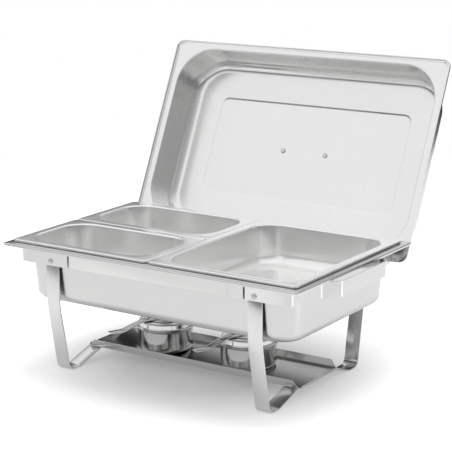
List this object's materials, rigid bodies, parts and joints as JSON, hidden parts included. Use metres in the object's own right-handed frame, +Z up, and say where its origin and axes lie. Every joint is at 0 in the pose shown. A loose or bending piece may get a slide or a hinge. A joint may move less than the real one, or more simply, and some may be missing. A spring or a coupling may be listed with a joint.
{
  "type": "chafing dish",
  "caption": "Steel chafing dish on a folding strip frame with a water pan, lift-out food pans, fuel burners under it and a lid that stands upright behind.",
  "frame": {"origin": "on the surface that the feet stand on, under the middle of the whole object's box, standing lid included", "axes": "+X along the dish's long side towards the half-size pan, +Y from the serving side to the standing lid, +Z up"},
  "size_m": [0.5738, 0.5326, 0.4833],
  "materials": {
    "pan_steel": "satin stainless steel sheet",
    "frame_steel": "brushed stainless steel strip",
    "shelf_steel": "polished stainless steel sheet",
    "burner_steel": "polished stainless steel, turned",
    "fastener_steel": "bright stainless steel"
  },
  "bodies": {
    "stand": {"rail_front": "frame_steel", "rail_rear": "frame_steel", "end_band_left": "frame_steel", "end_band_right": "frame_steel", "lid_rest_left": "frame_steel", "lid_rest_right": "frame_steel", "leg_rivet_left_front": "fastener_steel", "leg_rivet_left_rear": "fastener_steel", "leg_rivet_right_front": "fastener_steel", "leg_rivet_right_rear": "fastener_steel"},
    "leg_left": {"leg_frame_left": "frame_steel"},
    "leg_right": {"leg_frame_right": "frame_steel"},
    "shelf": {"fuel_shelf": "shelf_steel"},
    "water": {"water_pan": "pan_steel"},
    "pan_half": {"food_pan_half": "pan_steel"},
    "pan_quarter_front": {"food_pan_quarter_front": "pan_steel"},
    "pan_quarter_rear": {"food_pan_quarter_rear": "pan_steel"},
    "lid": {"lid_shell": "pan_steel", "lid_handle": "frame_steel", "lid_screw_left": "fastener_steel", "lid_screw_right": "fastener_steel", "lid_nut_left": "fastener_steel", "lid_nut_right": "fastener_steel"},
    "cup_left": {"fuel_cup_left": "burner_steel"},
    "cover_left": {"cup_cover_left": "burner_steel", "swivel_pin_left": "fastener_steel"},
    "swivel_left": {"swivel_plate_left": "burner_steel", "swivel_handle_left": "burner_steel", "handle_rivet_left": "fastener_steel"},
    "cup_right": {"fuel_cup_right": "burner_steel"},
    "cover_right": {"cup_cover_right": "burner_steel", "swivel_pin_right": "fastener_steel"},
    "swivel_right": {"swivel_plate_right": "burner_steel", "swivel_handle_right": "burner_steel", "handle_rivet_right": "fastener_steel"}
  },
  "joints": [
    {"name": "water_pan_lift", "type": "slide", "parent": "stand", "child": "water", "axis": [0, 0, 1], "range_m": [0, 0.4]},
    {"name": "left_leg_fold", "type": "hinge", "parent": "stand", "child": "leg_left", "pos_m": [-0.19, -0.09025, 0.1865], "axis": [0, -1, 0], "range_deg": [0, 90]},
    {"name": "right_leg_fold", "type": "hinge", "parent": "stand", "child": "leg_right", "pos_m": [0.19, -0.09025, 0.1865], "axis": [0, 1, 0], "range_deg": [0, 90]},
    {"name": "shelf_lift", "type": "slide", "parent": "stand", "child": "shelf", "axis": [0, 0, 1], "range_m": [0, 0.2]},
    {"name": "half_pan_lift", "type": "slide", "parent": "water", "child": "pan_half", "axis": [0, 0, 1], "range_m": [0, 0.1]},
    {"name": "front_quarter_pan_lift", "type": "slide", "parent": "water", "child": "pan_quarter_front", "axis": [0, 0, 1], "range_m": [0, 0.1]},
    {"name": "rear_quarter_pan_lift", "type": "slide", "parent": "water", "child": "pan_quarter_rear", "axis": [0, 0, 1], "range_m": [0, 0.1]},
    {"name": "lid_lift", "type": "slide", "parent": "stand", "child": "lid", "axis": [0, 0.4305, 0.9026], "range_m": [0, 0.12]},
    {"name": "cup_lift_left", "type": "slide", "parent": "shelf", "child": "cup_left", "axis": [0, 0, 1], "range_m": [0, 0.02]},
    {"name": "cover_lift_left", "type": "slide", "parent": "cup_left", "child": "cover_left", "axis": [0, 0, 1], "range_m": [0, 0.016]},
    {"name": "cover_swivel_left", "type": "hinge", "parent": "cover_left", "child": "swivel_left", "pos_m": [-0.09841, -0.12081, 0.0713], "axis": [0, 0, -1], "range_deg": [0, 35]},
    {"name": "cup_lift_right", "type": "slide", "parent": "shelf", "child": "cup_right", "axis": [0, 0, 1], "range_m": [0, 0.02]},
    {"name": "cover_lift_right", "type": "slide", "parent": "cup_right", "child": "cover_right", "axis": [0, 0, 1], "range_m": [0, 0.016]},
    {"name": "cover_swivel_right", "type": "hinge", "parent": "cover_right", "child": "swivel_right", "pos_m": [0.06576, -0.12177, 0.0713], "axis": [0, 0, -1], "range_deg": [0, 35]}
  ],
  "couplings": [
    {"joint": "left_leg_fold", "follows": "water_pan_lift", "rad_per_m": 3.92},
    {"joint": "right_leg_fold", "follows": "water_pan_lift", "rad_per_m": 3.92},
    {"joint": "shelf_lift", "follows": "water_pan_lift", "ratio": 0.49}
  ]
}
